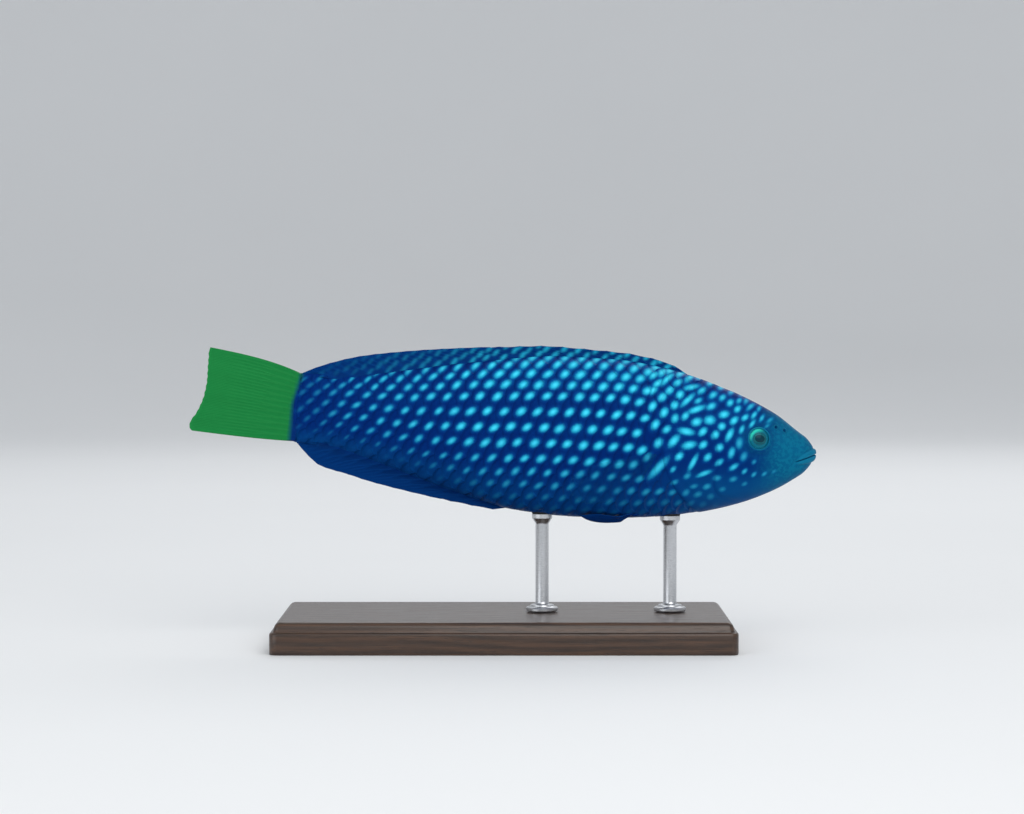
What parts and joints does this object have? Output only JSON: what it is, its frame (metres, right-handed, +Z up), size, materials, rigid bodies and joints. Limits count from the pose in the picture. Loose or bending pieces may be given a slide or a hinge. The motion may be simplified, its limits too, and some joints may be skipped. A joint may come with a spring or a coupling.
{
  "type": "yellowtail wrasse model on a display stand",
  "caption": "Still, life-size spotted reef wrasse with a yellow-green truncate tail and folded fins, tilted slightly nose down on a flat board with short rods.",
  "frame": {"origin": "centre of the whole model's box on the floor, under the display board", "axes": "+X towards the fish's snout, +Y towards its left side, +Z up"},
  "size_m": [0.1799, 0.06, 0.0852],
  "materials": {
    "spotted_skin": "painted deep blue skin with rows of pale cyan spots, satin under a thin clear coat",
    "eye": "dark red-brown iris, black pupil and pale green crescent under a clear gloss dome",
    "dark_fin": "deep blue fin membrane over ridged rays, satin",
    "clear_fin": "thin clear blue membrane over ridged rays",
    "yellow_fin": "yellow-green fin membrane over ridged rays, satin",
    "stand_board": "dark stained wood board with rounded edges, satin",
    "stand_steel": "brushed rods with a foot collar and a small cup"
  },
  "bodies": {
    "root": {"head": "spotted_skin", "gill_cover_left": "spotted_skin", "gill_cover_right": "spotted_skin", "trunk": "spotted_skin", "tail_stalk": "spotted_skin", "eye_left": "eye", "eye_right": "eye", "dorsal_fin": "dark_fin", "anal_fin": "dark_fin", "pelvic_fin_left": "dark_fin", "pelvic_fin_right": "dark_fin", "pectoral_fin_left": "clear_fin", "pectoral_fin_right": "clear_fin", "caudal_fin": "yellow_fin", "stand_base": "stand_board", "stand_rod_front": "stand_steel", "stand_rod_rear": "stand_steel"}
  },
  "joints": []
}
